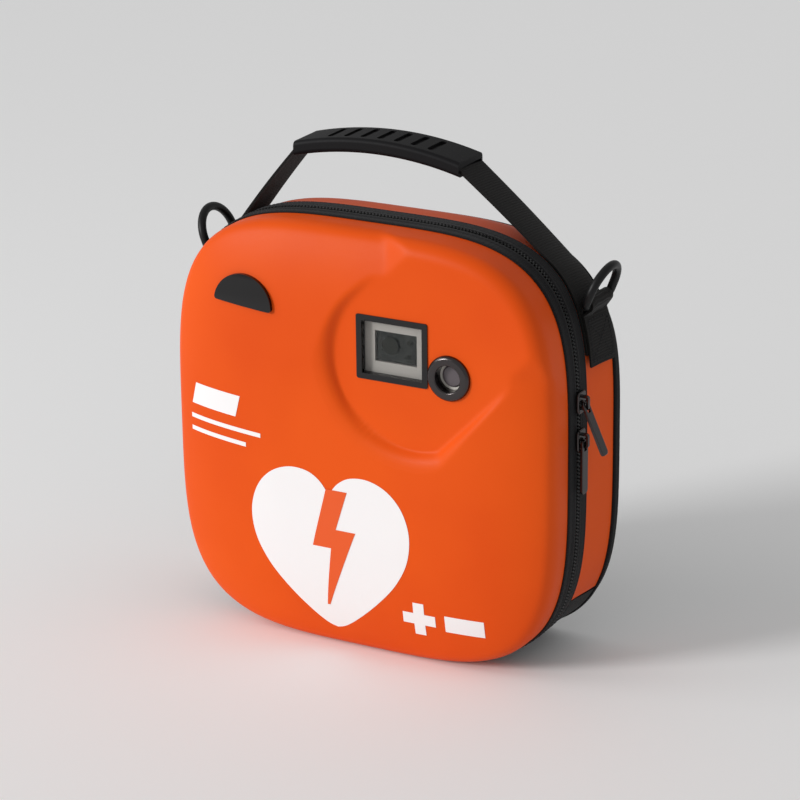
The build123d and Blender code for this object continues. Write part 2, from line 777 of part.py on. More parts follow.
keep("unit_front_casing", make_front_casing())
keep("unit_rear_casing", make_rear_casing())
keep("casing_gasket", unit_block(0.4, unit_split_y, unit_split_y + gasket_thick)
     - unit_block(unit_wall, unit_split_y - 1, unit_split_y + 2))
keep("casing_screws", make_screws())
keep("display_lens", slab(Rectangle(display_width, display_height), display_y, display_y + display_lens,
                          window_x, window_z))
keep("status_display", slab(Rectangle(display_width - 1, display_height - 1), display_y + display_lens,
                            display_y + display_lens + display_depth, window_x, window_z))
keep("info_button", make_button(info_radius, grommet_x, grommet_z, info_travel, info_proud))
keep("power_button", make_button(power_radius, power_x, power_z, power_travel, power_proud))
keep("shock_button", make_button(shock_radius, shock_x, shock_z, shock_travel, shock_proud))
keep("age_switch", make_switch())
keep("pads_socket", make_socket())
keep("speaker", rod(speaker_radius, unit_front_y + unit_wall, unit_front_y + unit_wall + speaker_depth, speaker_x, speaker_z))
keep("main_board", slab(Rectangle(board_width, board_height), board_y, board_y + board_thick,
                        0, case_mid_z + board_rise))
keep("storage_capacitor", Pos(capacitor_x, unit_split_y + capacitor_to_split, capacitor_z)
     * Cylinder(capacitor_radius, capacitor_length))
keep("charging_transformer", on_board(RectangleRounded(*transformer_size[:2], 3), transformer_size[2],
                                      transformer_x, transformer_z))
keep("discharge_relay", on_board(Rectangle(*relay_size[:2]), relay_size[2], relay_x, relay_z))
keep("battery_pack", slab(RectangleRounded(battery_width - 2 * battery_fit, battery_height - 2 * battery_fit, 3),
                          unit_back_y - battery_depth, unit_back_y, battery_x, battery_z))


# ---------------------------------------------------------------- what holds the unit in the case
def make_cradle():
    """Foam that fills the rear half around the unit, with a recess for the pads' pouch."""
    foam = outline_prism(cradle_front, unit_back_y + unit_fit, -shell_wall - tape_lip - cradle_clear)
    foam += rear_body(-shell_wall - cradle_clear, y0=unit_back_y + unit_fit, y1=back_y - shell_wall - 0.2)
    foam -= unit_block(-unit_fit, 0, unit_back_y + unit_fit)
    foam -= slab(Rectangle(pouch_width + 2 * pouch_fit, pouch_height + 2 * pouch_fit),
                 0, unit_back_y + unit_fit + pouch_thick + pouch_fit, 0, case_mid_z)
    return foam & (Pos(0, 0, shell_wall) * above_floor)


def make_hold_strap():
    """An elastic strap over the unit's front, from one side of the cradle to the other."""
    x_in = unit_width / 2 + hold_strap_gap
    y_in = unit_front_y - hold_strap_gap
    radius = unit_edge + hold_strap_gap
    outer = band(x_in + hold_strap_thick, y_in - hold_strap_thick, radius + hold_strap_thick)
    return outer - band(x_in, y_in, radius)


def band(x, y, radius):
    body = block(-x, x, y, cradle_front, hold_strap_z - hold_strap_width / 2,
                 hold_strap_z + hold_strap_width / 2)
    corners = [e for e in body.edges().filter_by(Axis.Z) if e.center().Y < y + 1]
    return fillet(corners, radius)


keep("foam_cradle", make_cradle())
keep("hold_strap", make_hold_strap())
keep("pads_pouch", fillet(slab(RectangleRounded(pouch_width, pouch_height, 8),
                               unit_back_y + unit_fit, unit_back_y + unit_fit + pouch_thick,
                               0, case_mid_z).edges().filter_by(Axis.Y, reverse=True), 2.0))

os.makedirs("parts", exist_ok=True)
for name, part in nodes.items():
    export_step(part, f"parts/{name}.step")
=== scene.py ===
import json
from math import cos, hypot, pi, radians, sin

import bpy
from mathutils import Matrix, Vector


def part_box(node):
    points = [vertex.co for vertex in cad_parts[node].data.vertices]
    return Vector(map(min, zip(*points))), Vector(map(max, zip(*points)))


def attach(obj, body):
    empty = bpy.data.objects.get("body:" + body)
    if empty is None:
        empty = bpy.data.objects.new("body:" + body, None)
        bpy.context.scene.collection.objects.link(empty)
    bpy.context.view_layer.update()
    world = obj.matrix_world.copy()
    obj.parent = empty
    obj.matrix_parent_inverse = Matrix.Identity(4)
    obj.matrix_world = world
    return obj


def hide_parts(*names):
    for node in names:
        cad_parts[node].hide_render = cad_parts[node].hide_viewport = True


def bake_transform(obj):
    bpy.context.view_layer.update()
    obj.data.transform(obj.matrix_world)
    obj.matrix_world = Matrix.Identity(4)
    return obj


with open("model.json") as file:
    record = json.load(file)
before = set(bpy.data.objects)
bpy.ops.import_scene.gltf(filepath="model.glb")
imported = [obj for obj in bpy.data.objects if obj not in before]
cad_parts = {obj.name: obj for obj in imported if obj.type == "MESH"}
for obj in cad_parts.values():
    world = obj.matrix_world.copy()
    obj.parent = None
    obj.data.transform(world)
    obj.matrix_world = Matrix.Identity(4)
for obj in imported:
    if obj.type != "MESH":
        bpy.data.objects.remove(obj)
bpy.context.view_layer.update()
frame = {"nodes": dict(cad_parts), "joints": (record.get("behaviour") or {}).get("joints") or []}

bl_info = {
    "name": "Defibrillator case",
    "version": (1, 0, 0),
    "blender": (4, 5, 0),
    "location": "View3D > Sidebar > Defibrillator",
    "description": "Surfaces, zip, webbing and prints of a defibrillator's carrying case",
    "category": "Object",
}

MM = 0.001
NODES = frame["nodes"]

# Places that come from the frame
SHELL_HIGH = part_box("rear_shell")[1]
FRONT_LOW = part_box("front_shell")[0]
FRONT_TAPE_LOW, FRONT_TAPE_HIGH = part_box("front_zip_tape")
REAR_TAPE_LOW, REAR_TAPE_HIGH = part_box("rear_zip_tape")
PANEL_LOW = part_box("back_panel")[0]
TAB_LOW, TAB_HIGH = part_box("right_tab")
GRIP_LOW, GRIP_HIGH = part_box("handle_grip")
HOLD_LOW, HOLD_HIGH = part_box("hold_strap")

TAPE_PROUD = 1.0 * MM
HALF_WIDTH = FRONT_TAPE_HIGH.x - TAPE_PROUD
HALF_HEIGHT = 147.5 * MM
MIDDLE_Z = FRONT_TAPE_HIGH.z - TAPE_PROUD - HALF_HEIGHT
OUTLINE_POWER = 3.8
ZIP_Y = (FRONT_TAPE_HIGH.y + REAR_TAPE_LOW.y) / 2
SIDE_FLARE = SHELL_HIGH.x - HALF_WIDTH
TOP_FALL = 8.0 * MM
HINGE_HALF = 55.0 * MM
STRAP_THICK = 1.8 * MM
STRAP_Y = (TAB_LOW.y + TAB_HIGH.y) / 2
STRAP_HALF = (TAB_HIGH.y - TAB_LOW.y) / 2
PANEL_FACE_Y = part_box("window_bezel")[0].y + 0.8 * MM
BAR = Vector(next(j["pos_m"] for j in frame["joints"] if j["name"] == "right_ring_swing"))
LEAVE_ANGLE = radians(48)
GRIP_END_Z = GRIP_LOW.z + 4.1 * MM


# ------------------------------------------------------------------ colours and sizes
def linear(code):
    """An sRGB hex colour as linear red, green, blue and alpha."""
    channels = [int(code[i:i + 2], 16) / 255 for i in (0, 2, 4)]
    return tuple(c / 12.92 if c <= 0.04045 else ((c + 0.055) / 1.055) ** 2.4 for c in channels) + (1.0,)


def colour_prop(name, description, code):
    return bpy.props.FloatVectorProperty(name=name, description=description, subtype="COLOR", size=4,
                                         min=0, max=1, default=linear(code))


def length_prop(name, description, default):
    return bpy.props.FloatProperty(name=name, description=description, unit="LENGTH", default=default)


class CaseColours(bpy.types.PropertyGroup):
    skin: colour_prop("Skin", "Moulded orange skin of both halves", "E8560C")
    skin_deep: colour_prop("Skin, deep", "Slow change of tone in the orange skin", "E04E08")
    tape: colour_prop("Tape", "Woven zip tape and fabric back", "151416")
    webbing: colour_prop("Webbing", "Ribbed polyester webbing", "1A1817")
    nickel: colour_prop("Black nickel", "Plated zip parts and grommet", "4A4646")
    print_white: colour_prop("Print", "White ink of the heart", "F4F2F2")
    unit: colour_prop("Unit", "Defibrillator's casing", "DDD8D0")
    display: colour_prop("Display", "Status display's glass", "3A3E3A")


class CaseSizes(bpy.types.PropertyGroup):
    tooth_pitch: length_prop("Tooth pitch", "Distance between zip elements of one row", 2.5 * MM)
    stitch_pitch: length_prop("Stitch pitch", "Distance between stitches", 3.4 * MM)
    rib_pitch: length_prop("Rib pitch", "Distance between the webbing's ribs", 1.9 * MM)
    rib_height: length_prop("Rib height", "How far the webbing's ribs stand up", 0.16 * MM)
    piping: length_prop("Piping radius", "Bound edge round the back", 2.1 * MM)
    ink: length_prop("Ink", "How far the print stands off the skin", 0.22 * MM)


# ------------------------------------------------------------------ mesh helpers
def deselect():
    for item in bpy.context.selected_objects:
        item.select_set(False)


def activate(piece):
    deselect()
    piece.select_set(True)
    bpy.context.view_layer.objects.active = piece


def named(name):
    piece = bpy.context.object
    piece.name = name
    piece.data.name = name
    return piece


def place_grid(name, across, along, place):
    """A grid primitive whose points are laid where place(u, v) says, u and v from 0 to 1."""
    deselect()
    bpy.ops.mesh.primitive_grid_add(x_subdivisions=across, y_subdivisions=along, size=2, location=(0, 0, 0))
    piece = named(name)
    for vertex in piece.data.vertices:
        vertex.co = place((vertex.co.x + 1) / 2, (vertex.co.y + 1) / 2)
    return piece


def edit_all(piece):
    activate(piece)
    bpy.ops.object.mode_set(mode="EDIT")
    bpy.ops.mesh.select_all(action="SELECT")


def leave_edit():
    bpy.ops.object.mode_set(mode="OBJECT")


def close_up(piece):
    """Merges doubled points and turns all faces outwards."""
    edit_all(piece)
    bpy.ops.mesh.remove_doubles(threshold=0.00002)
    bpy.ops.mesh.normals_make_consistent(inside=False)
    leave_edit()


def modify(piece, kind, **settings):
    activate(piece)
    modifier = piece.modifiers.new(kind.title(), kind)
    for key, value in settings.items():
        setattr(modifier, key, value)
    bpy.ops.object.modifier_apply(modifier=modifier.name)


def smooth(piece, angle=35):
    activate(piece)
    bpy.ops.object.shade_smooth_by_angle(angle=radians(angle))


def join(pieces, name):
    activate(pieces[0])
    for piece in pieces:
        piece.select_set(True)
    bpy.ops.object.join()
    return named(name)


def dress(piece, material):
    piece.data.materials.clear()
    piece.data.materials.append(material)


def finish_piece(piece, body, material, nodes=(), angle=35):
    smooth(piece, angle)
    dress(piece, material)
    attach(piece, body)
    if nodes:
        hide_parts(*nodes)


def copies(name, source, frames):
    """One mesh with a copy of source at each frame; the source is removed."""
    points = [vertex.co.copy() for vertex in source.data.vertices]
    faces = [tuple(face.vertices) for face in source.data.polygons]
    all_points = []
    all_faces = []
    for matrix in frames:
        start = len(all_points)
        all_points.extend(matrix @ point for point in points)
        all_faces.extend(tuple(start + i for i in face) for face in faces)
    mesh = bpy.data.meshes.new(name)
    mesh.from_pydata(all_points, [], all_faces)
    piece = bpy.data.objects.new(name, mesh)
    bpy.context.scene.collection.objects.link(piece)
    bpy.data.objects.remove(source)
    return piece


# ------------------------------------------------------------------ the case's outline
def outline_radius(angle, half_w, half_h):
    total = abs(cos(angle) / half_w) ** OUTLINE_POWER + abs(sin(angle) / half_h) ** OUTLINE_POWER
    return total ** (-1 / OUTLINE_POWER)


def outline_point(angle, y, grow=0.0):
    """A point of the rounded-square outline; behind the tape it flares and its top falls."""
    depth = max(0.0, (y - REAR_TAPE_HIGH.y) / (PANEL_LOW.y - REAR_TAPE_HIGH.y))
    half_w = HALF_WIDTH + grow + SIDE_FLARE * min(depth, 1.0)
    half_h = HALF_HEIGHT + grow
    radius = outline_radius(angle, half_w, half_h)
    z = radius * sin(angle)
    if z > 0:
        z *= (half_h - TOP_FALL * min(depth, 1.0) ** 2) / half_h
    return Vector((radius * cos(angle), y, max(MIDDLE_Z + z, 0.0)))


def outline_frames(y, grow, pitch, phase, start=0.0, end=2 * pi):
    """Frames evenly spaced along the outline: X along it, Z outwards."""
    steps = 1440
    angles = [start + (end - start) * i / steps for i in range(steps + 1)]
    points = [outline_point(angle, y, grow) for angle in angles]
    frames = []
    travelled = 0.0
    target = phase * pitch
    for a, b in zip(points, points[1:]):
        step = (b - a).length
        while step > 0 and travelled + step >= target:
            point = a.lerp(b, (target - travelled) / step)
            along = (b - a).normalized()
            outward = along.cross(Vector((0, 1, 0))).normalized()
            if outward.dot(point - Vector((0, y, MIDDLE_Z))) < 0:
                outward = -outward
            side = outward.cross(along)
            turn = Matrix((along, side, outward)).transposed().to_4x4()
            frames.append(Matrix.Translation(point) @ turn)
            target += pitch
        travelled += step
    return frames


def beside_hinge(matrix):
    point = matrix.translation
    return point.x < -HALF_WIDTH / 2 and abs(point.z - MIDDLE_Z) < HINGE_HALF


# ------------------------------------------------------------------ materials
def add_node(tree, kind, settings=None, links=None):
    """Adds a node, sets its properties and socket values, and links sockets to it."""
    node = tree.nodes.new(kind)
    for key, value in (settings or {}).items():
        if isinstance(key, int) or key in node.inputs:
            node.inputs[key].default_value = value
        else:
            setattr(node, key, value)
    for key, source in (links or {}).items():
        tree.links.new(source, node.inputs[key])
    return node


def new_material(name, colour, roughness, **sockets):
    material = bpy.data.materials.new(name)
    material.use_nodes = True
    shader = material.node_tree.nodes["Principled BSDF"]
    shader.inputs["Base Color"].default_value = colour
    shader.inputs["Roughness"].default_value = roughness
    for key, value in sockets.items():
        shader.inputs[key.replace("_", " ")].default_value = value
    return material


def shader_of(material):
    return material.node_tree, material.node_tree.nodes["Principled BSDF"]


def vary_colour(material, first, second, scale):
    """Slow, cloudy change between two tones, scale in patches per metre."""
    tree, shader = shader_of(material)
    place = add_node(tree, "ShaderNodeTexCoord")
    noise = add_node(tree, "ShaderNodeTexNoise", {"Scale": scale, "Detail": 2.0},
                     {"Vector": place.outputs["Object"]})
    ramp = add_node(tree, "ShaderNodeValToRGB", None, {"Fac": noise.outputs["Fac"]})
    ramp.color_ramp.elements[0].position = 0.35
    ramp.color_ramp.elements[0].color = first
    ramp.color_ramp.elements[1].position = 0.65
    ramp.color_ramp.elements[1].color = second
    tree.links.new(ramp.outputs["Color"], shader.inputs["Base Color"])


def grain(material, grain_mm, height_mm, kind="NOISE", rough=None):
    """Fine relief of the given grain size, and roughness that follows it when rough is given."""
    tree, shader = shader_of(material)
    place = add_node(tree, "ShaderNodeTexCoord")
    scale = 1.0 / (grain_mm * MM)
    if kind == "CELLS":
        texture = add_node(tree, "ShaderNodeTexVoronoi", {"Scale": scale, "feature": "SMOOTH_F1"},
                           {"Vector": place.outputs["Object"]})
        value = texture.outputs["Distance"]
    else:
        texture = add_node(tree, "ShaderNodeTexNoise", {"Scale": scale, "Detail": 3.0},
                           {"Vector": place.outputs["Object"]})
        value = texture.outputs["Fac"]
    bump = add_node(tree, "ShaderNodeBump", {"Strength": 1.0, "Distance": height_mm * MM}, {"Height": value})
    tree.links.new(bump.outputs["Normal"], shader.inputs["Normal"])
    if rough:
        spread = add_node(tree, "ShaderNodeMapRange", {"To Min": rough[0], "To Max": rough[1]},
                          {"Value": value})
        tree.links.new(spread.outputs["Result"], shader.inputs["Roughness"])


def weave(material, thread_mm, height_mm, first, second):
    """Diagonal twill: two crossed wave patterns on the object's own coordinates."""
    tree, shader = shader_of(material)
    place = add_node(tree, "ShaderNodeTexCoord")
    scale = 1.0 / (thread_mm * MM) / 20 * 2 * pi
    waves = []
    for turn in (radians(45), radians(-45)):
        mapping = add_node(tree, "ShaderNodeMapping", {"Rotation": (turn, turn, 0)},
                           {"Vector": place.outputs["Object"]})
        wave = add_node(tree, "ShaderNodeTexWave",
                        {"Scale": scale, "Distortion": 0.3, "bands_direction": "Z"},
                        {"Vector": mapping.outputs["Vector"]})
        waves.append(wave.outputs["Fac"])
    mixed = add_node(tree, "ShaderNodeMath", {"operation": "MULTIPLY"}, {0: waves[0], 1: waves[1]})
    bump = add_node(tree, "ShaderNodeBump", {"Strength": 1.0, "Distance": height_mm * MM},
                    {"Height": mixed.outputs["Value"]})
    ramp = add_node(tree, "ShaderNodeMix", {"data_type": "RGBA"}, {"Factor": mixed.outputs["Value"]})
    ramp.inputs[6].default_value = first
    ramp.inputs[7].default_value = second
    tree.links.new(ramp.outputs[2], shader.inputs["Base Color"])
    tree.links.new(bump.outputs["Normal"], shader.inputs["Normal"])


def darker(colour, share):
    return tuple(channel * share for channel in colour[:3]) + (1.0,)


def make_materials():
    colours = bpy.context.scene.case_colours
    made = {}

    # EVA foam faced with a polyurethane skin, hot moulded: satin, with a very fine grain
    skin = new_material("polyurethane_skin_moulded", colours.skin, 0.48, Specular_IOR_Level=0.15)
    vary_colour(skin, colours.skin, colours.skin_deep, 9.0)
    grain(skin, 0.7, 0.012, "CELLS", (0.42, 0.54))
    made["skin"] = skin

    # polyester zip tape, twill woven: deep black with a dry sheen; threads drawn coarse enough to show
    tape = new_material("polyester_tape_twill", colours.tape, 0.85, Sheen_Weight=0.08,
                        Specular_IOR_Level=0.15, Sheen_Roughness=0.5)
    weave(tape, 0.9, 0.10, darker(colours.tape, 0.6), darker(colours.tape, 1.5))
    made["tape"] = tape

    # brushed polyester jersey, bonded inside the shells
    lining = new_material("polyester_jersey_bonded", linear("19191B"), 0.92, Specular_IOR_Level=0.15)
    grain(lining, 1.2, 0.08)
    made["lining"] = lining

    # polyester webbing, woven with heavy cross ribs: the ribs are modelled, the threads are relief
    webbing = new_material("polyester_webbing_ribbed", colours.webbing, 0.75, Sheen_Weight=0.1,
                           Specular_IOR_Level=0.15, Sheen_Roughness=0.45)
    weave(webbing, 0.8, 0.06, darker(colours.webbing, 0.6), darker(colours.webbing, 1.4))
    made["webbing"] = webbing

    # nylon coil, extruded: a slightly glossy black
    made["coil"] = new_material("nylon_coil_extruded", linear("141415"), 0.34, Specular_IOR_Level=0.3)
    grain(made["coil"], 0.5, 0.01)

    # zinc alloy, die cast and plated in black nickel: dark mirror with soft wear
    nickel = new_material("zinc_black_nickel_plated", colours.nickel, 0.2, Metallic=1.0)
    grain(nickel, 1.6, 0.004, "NOISE", (0.14, 0.3))
    made["nickel"] = nickel

    # acetal, injection moulded: D-rings with a fine matt texture
    acetal = new_material("acetal_moulded", linear("121213"), 0.42, Specular_IOR_Level=0.25)
    grain(acetal, 0.5, 0.015)
    made["acetal"] = acetal

    # soft PVC, moulded over the webbing: matt black grip
    grip = new_material("soft_vinyl_moulded", linear("100F11"), 0.55, Specular_IOR_Level=0.15)
    grain(grip, 0.6, 0.03, "NOISE", (0.48, 0.66))
    made["grip"] = grip

    # acrylic, cast and polished: deep gloss black
    made["acrylic"] = new_material("acrylic_black_polished", linear("0A0708"), 0.07, Specular_IOR_Level=0.45)
    grain(made["acrylic"], 8.0, 0.004)

    # polycarbonate sheet, clear, with a trace of haze
    clear = new_material("polycarbonate_clear", linear("16181A"), 0.04, IOR=1.585, Alpha=0.16)
    grain(clear, 14.0, 0.004)
    made["clear"] = clear

    # ABS, injection moulded with a spark-eroded texture: warm white casing
    unit = new_material("abs_white_textured", colours.unit, 0.5)
    grain(unit, 0.8, 0.03, "NOISE", (0.44, 0.58))
    made["unit"] = unit

    # liquid crystal cell behind glass: dull green-grey under a gloss face
    display = new_material("liquid_crystal_cell", colours.display, 0.25,
                           Coat_Weight=0.7, Coat_Roughness=0.05)
    vary_colour(display, colours.display, linear("4A4F49"), 60.0)
    made["display"] = display
    made["display_mark"] = new_material("liquid_crystal_dark", linear("23271F"), 0.3)
    grain(made["display_mark"], 2.0, 0.003)

    # ABS in mid grey, for keys, socket and component housings
    grey = new_material("abs_grey_moulded", linear("8C8C90"), 0.45)
    grain(grey, 0.8, 0.02)
    made["grey"] = grey
    made["key"] = new_material("abs_dark_moulded", linear("5C5357"), 0.3, Coat_Weight=0.3)
    grain(made["key"], 0.8, 0.015)

    # silicone keys, translucent and lit from behind on the real unit
    made["green"] = new_material("silicone_green_moulded", linear("2E8B4E"), 0.4, Subsurface_Weight=0.1)
    grain(made["green"], 1.0, 0.02)
    made["orange"] = new_material("silicone_orange_moulded", linear("F07018"), 0.38, Subsurface_Weight=0.1)
    grain(made["orange"], 1.0, 0.02)

    # closed-cell polyethylene foam, cut: dull, with open cells at the cut faces
    foam = new_material("polyethylene_foam_cut", linear("303034"), 0.95)
    grain(foam, 1.4, 0.25, "CELLS")
    made["foam"] = foam

    # laminated foil pouch, heat sealed
    foil = new_material("laminated_foil", linear("C9CCCF"), 0.28, Metallic=0.8)
    grain(foil, 12.0, 0.5)
    made["foil"] = foil

    # nitrile rubber gasket
    made["rubber"] = new_material("nitrile_rubber", linear("1C1C1E"), 0.7)
    grain(made["rubber"], 0.6, 0.02)

    # glass-fibre board with green solder mask
    board = new_material("glass_fibre_board", linear("1C5B32"), 0.35)
    grain(board, 1.2, 0.05, "CELLS")
    made["board"] = board

    # zinc-plated steel
    made["steel"] = new_material("steel_zinc_plated", linear("A8A8A4"), 0.32, Metallic=1.0)
    grain(made["steel"], 0.5, 0.01)

    # screen ink on the skin: white, and orange where the skin's colour shows again
    made["ink"] = new_material("screen_ink_white", colours.print_white, 0.42, Coat_Weight=0.1)
    grain(made["ink"], 0.7, 0.01, "CELLS")
    made["ink_orange"] = new_material("screen_ink_orange", colours.skin, 0.42)
    grain(made["ink_orange"], 0.7, 0.01, "CELLS")

    # bonded polyester thread
    made["thread"] = new_material("polyester_thread", linear("242427"), 0.6, Specular_IOR_Level=0.2)
    grain(made["thread"], 0.4, 0.03)
    return made


MATERIALS = {}

NODE_MATERIALS = {
    "skin": ("front_shell", "rear_shell"),
    "tape": ("back_panel", "base_guard", "lid_lining", "hinge_tape", "front_zip_tape", "rear_zip_tape"),
    "coil": ("front_zip_coil", "rear_zip_coil", "speaker"),
    "nickel": ("upper_slider", "lower_slider", "upper_pull", "lower_pull", "grommet", "grommet_washer"),
    "acetal": ("right_ring", "left_ring", "battery_pack"),
    "grip": ("handle_grip",),
    "webbing": ("right_strap_end", "left_strap_end", "right_tab", "left_tab", "handle_strap", "hold_strap"),
    "acrylic": ("window_bezel", "badge_plate"),
    "clear": ("window_pane", "display_lens"),
    "unit": ("unit_front_casing", "unit_rear_casing"),
    "display": ("status_display",),
    "key": ("info_button",),
    "grey": ("age_switch", "pads_socket", "storage_capacitor", "discharge_relay"),
    "green": ("power_button",),
    "orange": ("shock_button",),
    "foam": ("foam_cradle",),
    "foil": ("pads_pouch",),
    "rubber": ("casing_gasket",),
    "board": ("main_board",),
    "steel": ("casing_screws", "charging_transformer"),
}


class CASE_OT_finishes(bpy.types.Operator):
    """Give every part of the frame its material"""
    bl_idname = "case.finishes"
    bl_label = "Finishes"

    def execute(self, context):
        MATERIALS.update(make_materials())
        for key, names in NODE_MATERIALS.items():
            for name in names:
                dress(NODES[name], MATERIALS[key])
        return {"FINISHED"}


# ------------------------------------------------------------------ zip
def tape_band(name, y0, y1, near_zip_y):
    """A woven band round the case, with a raised cord along its zip edge."""
    def place(u, v):
        y = y0 + (y1 - y0) * v
        near = max(0.0, 1 - abs(y - near_zip_y) / (2.2 * MM))
        edge = min(v, 1 - v) / 0.06
        lift = TAPE_PROUD * min(1.0, 0.55 + 0.45 * edge) + 0.35 * MM * near
        return outline_point(2 * pi * u, y, lift)
    band = place_grid(name, 360, 14, place)
    close_up(band)
    modify(band, "SOLIDIFY", thickness=1.2 * MM, offset=-1)
    return band


def tooth(name):
    """One zip element: a rounded hook that reaches just over the zip line."""
    deselect()
    bpy.ops.mesh.primitive_cube_add(size=1, location=(0, 0, 0))
    piece = named(name)
    bpy.ops.object.mode_set(mode="EDIT")
    bpy.ops.transform.resize(value=(1.15 * MM, 2.6 * MM, 1.7 * MM))
    bpy.ops.mesh.bevel(offset=0.35 * MM, segments=1)
    leave_edit()
    return piece


# the lowest teeth are lifted by this much, so that they stay above the floor
TOOTH_HALF_HEIGHT = 0.9 * MM


def teeth_row(name, side, phase):
    pitch = bpy.context.scene.case_sizes.tooth_pitch
    frames = outline_frames(ZIP_Y + side * 0.9 * MM, 0.7 * MM, pitch, phase)
    for place in frames:
        place.translation.z = max(place.translation.z, TOOTH_HALF_HEIGHT)
    return copies(name, tooth(name + "_one"), [m for m in frames if not beside_hinge(m)])


def stitch_row(name, y, grow):
    deselect()
    bpy.ops.mesh.primitive_cube_add(size=1, location=(0, 0, 0))
    piece = named(name + "_one")
    bpy.ops.object.mode_set(mode="EDIT")
    bpy.ops.transform.resize(value=(2.4 * MM, 0.55 * MM, 0.45 * MM))
    bpy.ops.mesh.bevel(offset=0.14 * MM, segments=1)
    leave_edit()
    pitch = bpy.context.scene.case_sizes.stitch_pitch
    frames = [m for m in outline_frames(y, grow, pitch, 0.5) if m.translation.z > 0.6 * MM]
    return copies(name, piece, frames)


class CASE_OT_zip(bpy.types.Operator):
    """Make the zip: woven tapes, teeth and stitching"""
    bl_idname = "case.zip"
    bl_label = "Zip"

    def execute(self, context):
        front_y0, front_y1 = FRONT_TAPE_LOW.y, FRONT_TAPE_HIGH.y + 1.0 * MM
        rear_y0, rear_y1 = REAR_TAPE_LOW.y - 1.0 * MM, REAR_TAPE_HIGH.y
        front = tape_band("woven_tape_front", front_y0, front_y1, front_y1 - 2.4 * MM)
        finish_piece(front, "front_lid", MATERIALS["tape"], ["front_zip_tape"])
        rear = tape_band("woven_tape_rear", rear_y0, rear_y1, rear_y0 + 2.4 * MM)
        finish_piece(rear, "rear_case", MATERIALS["tape"], ["rear_zip_tape"])
        for word, body, side, phase in (("front", "front_lid", -1, 0.0), ("rear", "rear_case", 1, 0.5)):
            row = teeth_row("zip_teeth_" + word, side, phase)
            finish_piece(row, body, MATERIALS["coil"], [word + "_zip_coil"])
        rows = (("front_edge", "front_lid", front_y0 + 2.0 * MM),
                ("front_inner", "front_lid", front_y1 - 5.0 * MM),
                ("rear_inner", "rear_case", rear_y0 + 5.0 * MM),
                ("rear_edge", "rear_case", rear_y1 - 2.0 * MM))
        for word, body, y in rows:
            row = stitch_row("stitches_" + word, y, TAPE_PROUD + 0.05 * MM)
            finish_piece(row, body, MATERIALS["thread"])
        return {"FINISHED"}


# ------------------------------------------------------------------ webbing
def resample(points, step):
    """Points evenly spaced along a polyline."""
    spaced = [points[0]]
    rest = step
    for a, b in zip(points, points[1:]):
        length = (b - a).length
        while rest <= length:
            spaced.append(a.lerp(b, rest / length))
            rest += step
        rest -= length
    return spaced


def web_strip(name, path, y0, y1, thick, ribbed=True):
    """Webbing along path(v), a list of points for each share v of its width, with raised ribs."""
    sizes = bpy.context.scene.case_sizes
    step = sizes.rib_pitch / 4
    columns = 7
    rows = [resample(path(c / columns), step) for c in range(columns + 1)]
    count = min(len(row) for row in rows) - 1

    def place(u, v):
        c = round(v * columns)
        i = min(round(u * count), count)
        row = rows[c]
        point = row[i]
        before, after = row[max(i - 1, 0)], row[min(i + 1, len(row) - 1)]
        outward = Vector((0, 1, 0)).cross(after - before).normalized()
        rib = sin(2 * pi * i * step / sizes.rib_pitch) if ribbed and 0 < c < columns else -0.6
        spot = point + outward * sizes.rib_height * rib
        spot.y = y0 + (y1 - y0) * v
        return spot

    strip = place_grid(name, count, columns, place)
    close_up(strip)
    modify(strip, "SOLIDIFY", thickness=thick, offset=0)
    return strip


def strap_path(side):
    """Centre line of the strap from under its tab, round the corner and up to the grip."""
    grip_x = GRIP_HIGH.x - 1.0 * MM if side > 0 else GRIP_LOW.x + 1.0 * MM

    def path(v):
        y = STRAP_Y + (2 * v - 1) * STRAP_HALF
        points = []
        angle = radians(26)
        while angle < LEAVE_ANGLE:
            point = outline_point(angle, y, STRAP_THICK / 2 + 0.5 * MM)
            points.append(Vector((side * point.x, y, point.z)))
            angle += radians(1)
        last = points[-1]
        top = Vector((grip_x, y, GRIP_END_Z + STRAP_THICK / 2))
        run = 24
        for i in range(1, run + 1):
            share = i / run
            belly = sin(pi * share) * 0.6 * MM
            points.append(last.lerp(top, share) + Vector((side * belly, 0, belly * 0.8)))
        return points
    return path


def tab_path(side):
    """A tab from its lower hem up over the ring's bar and down behind it."""
    def path(v):
        y = STRAP_Y + (2 * v - 1) * STRAP_HALF
        points = []
        z = TAB_LOW.z + 1.0 * MM
        angle = radians(22)
        wrap = 4.0 * MM
        while True:
            point = outline_point(angle, y, STRAP_THICK + 2.0 * MM)
            if point.z > BAR.z - 7.0 * MM:
                break
            if point.z > z:
                points.append(Vector((side * point.x, y, point.z)))
            angle += radians(0.5)
        for turn in range(-40, 200, 12):
            share = radians(turn)
            points.append(Vector((side * (BAR.x + wrap * cos(share)), y, BAR.z + wrap * sin(share))))
        points.append(Vector((side * (BAR.x - wrap), y, BAR.z - 8.0 * MM)))
        return points
    return path


